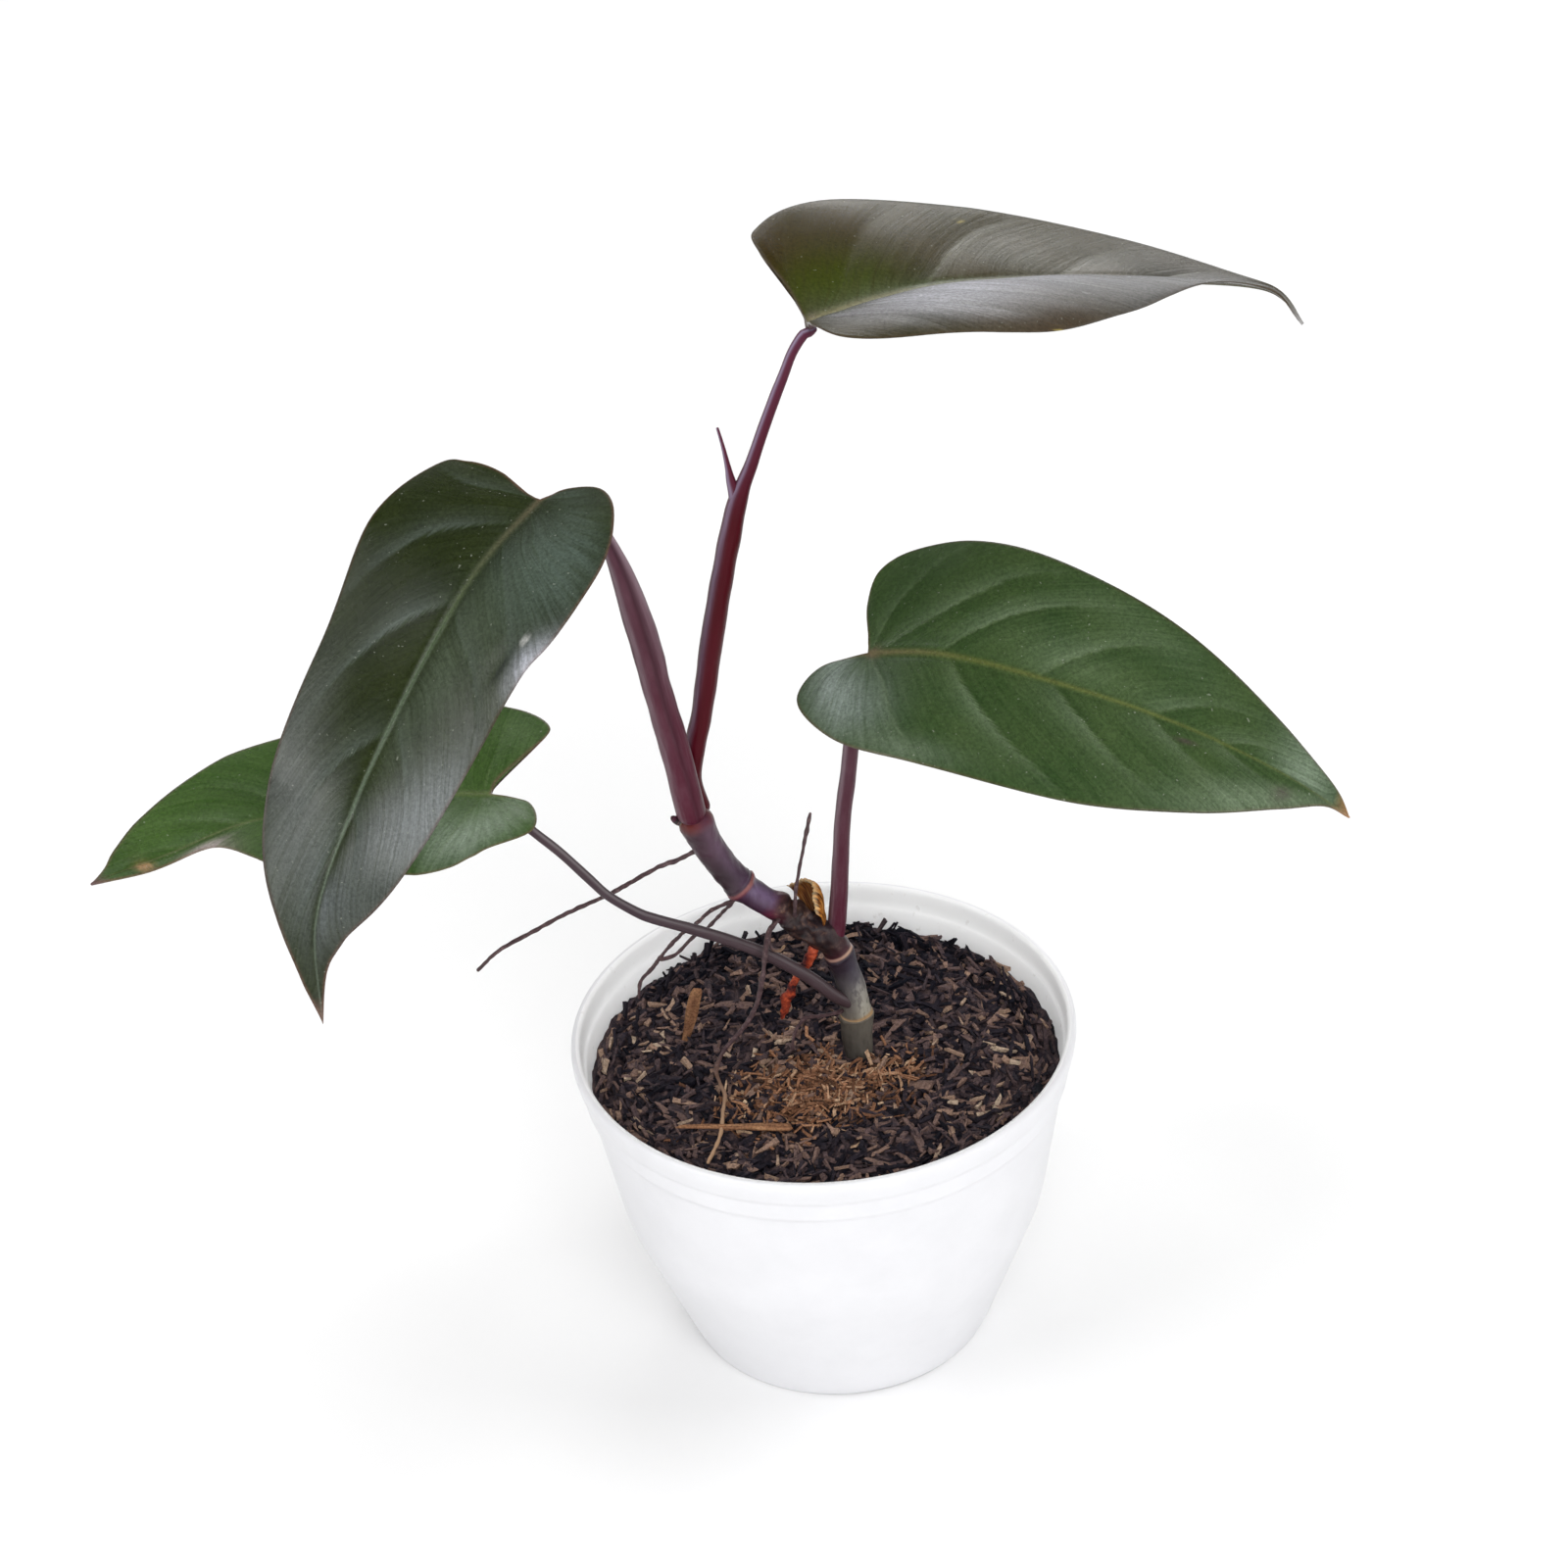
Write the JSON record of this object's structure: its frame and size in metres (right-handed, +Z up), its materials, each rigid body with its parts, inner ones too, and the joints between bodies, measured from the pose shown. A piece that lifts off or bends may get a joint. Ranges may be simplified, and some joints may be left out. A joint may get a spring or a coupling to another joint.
{
  "type": "potted dark lord philodendron",
  "caption": "Potted aroid house plant with heart-shaped dark leaves on long stalks, a leaning stem, aerial roots and bark soil in a plain round white nursery pot.",
  "frame": {"origin": "centre of the pot's flat base, where it stands", "axes": "+Z up; -Y towards the viewer of the picture; the stem leans towards -X"},
  "size_m": [0.3518, 0.1693, 0.3519],
  "materials": {
    "pot_plastic": "smooth white moulded plastic",
    "bark_soil": "dark chopped bark and fern fibre",
    "pale_bark": "split pale bark",
    "stem_skin": "ringed plant skin, purple above and grey below",
    "dry_husk": "dry golden-brown husk",
    "dry_sheath": "dry orange-red sheath",
    "stalk_red": "smooth crimson plant skin",
    "stalk_maroon": "smooth maroon plant skin",
    "stalk_grey": "smooth grey-maroon plant skin",
    "leaf_a": "glossy olive-brown leaf",
    "leaf_b": "glossy blackish green leaf",
    "leaf_c": "satin dark green leaf",
    "leaf_d": "satin fresh green leaf",
    "root_skin": "dry thin root"
  },
  "bodies": {
    "root": {"pot": "pot_plastic", "soil": "bark_soil", "bark_sliver_long": "pale_bark", "bark_sliver_upright": "pale_bark", "stem": "stem_skin", "papery_husk": "dry_husk", "dry_sheath_strip": "dry_sheath", "leaf_stalk_a": "stalk_red", "leaf_stalk_b": "stalk_maroon", "leaf_stalk_c": "stalk_maroon", "leaf_stalk_d": "stalk_grey", "leaf_blade_a": "leaf_a", "leaf_blade_b": "leaf_b", "leaf_blade_c": "leaf_c", "leaf_blade_d": "leaf_d", "aerial_root_left": "root_skin", "aerial_root_forked": "root_skin", "aerial_root_long": "root_skin", "aerial_root_upright": "root_skin", "aerial_root_short": "root_skin"}
  },
  "joints": []
}
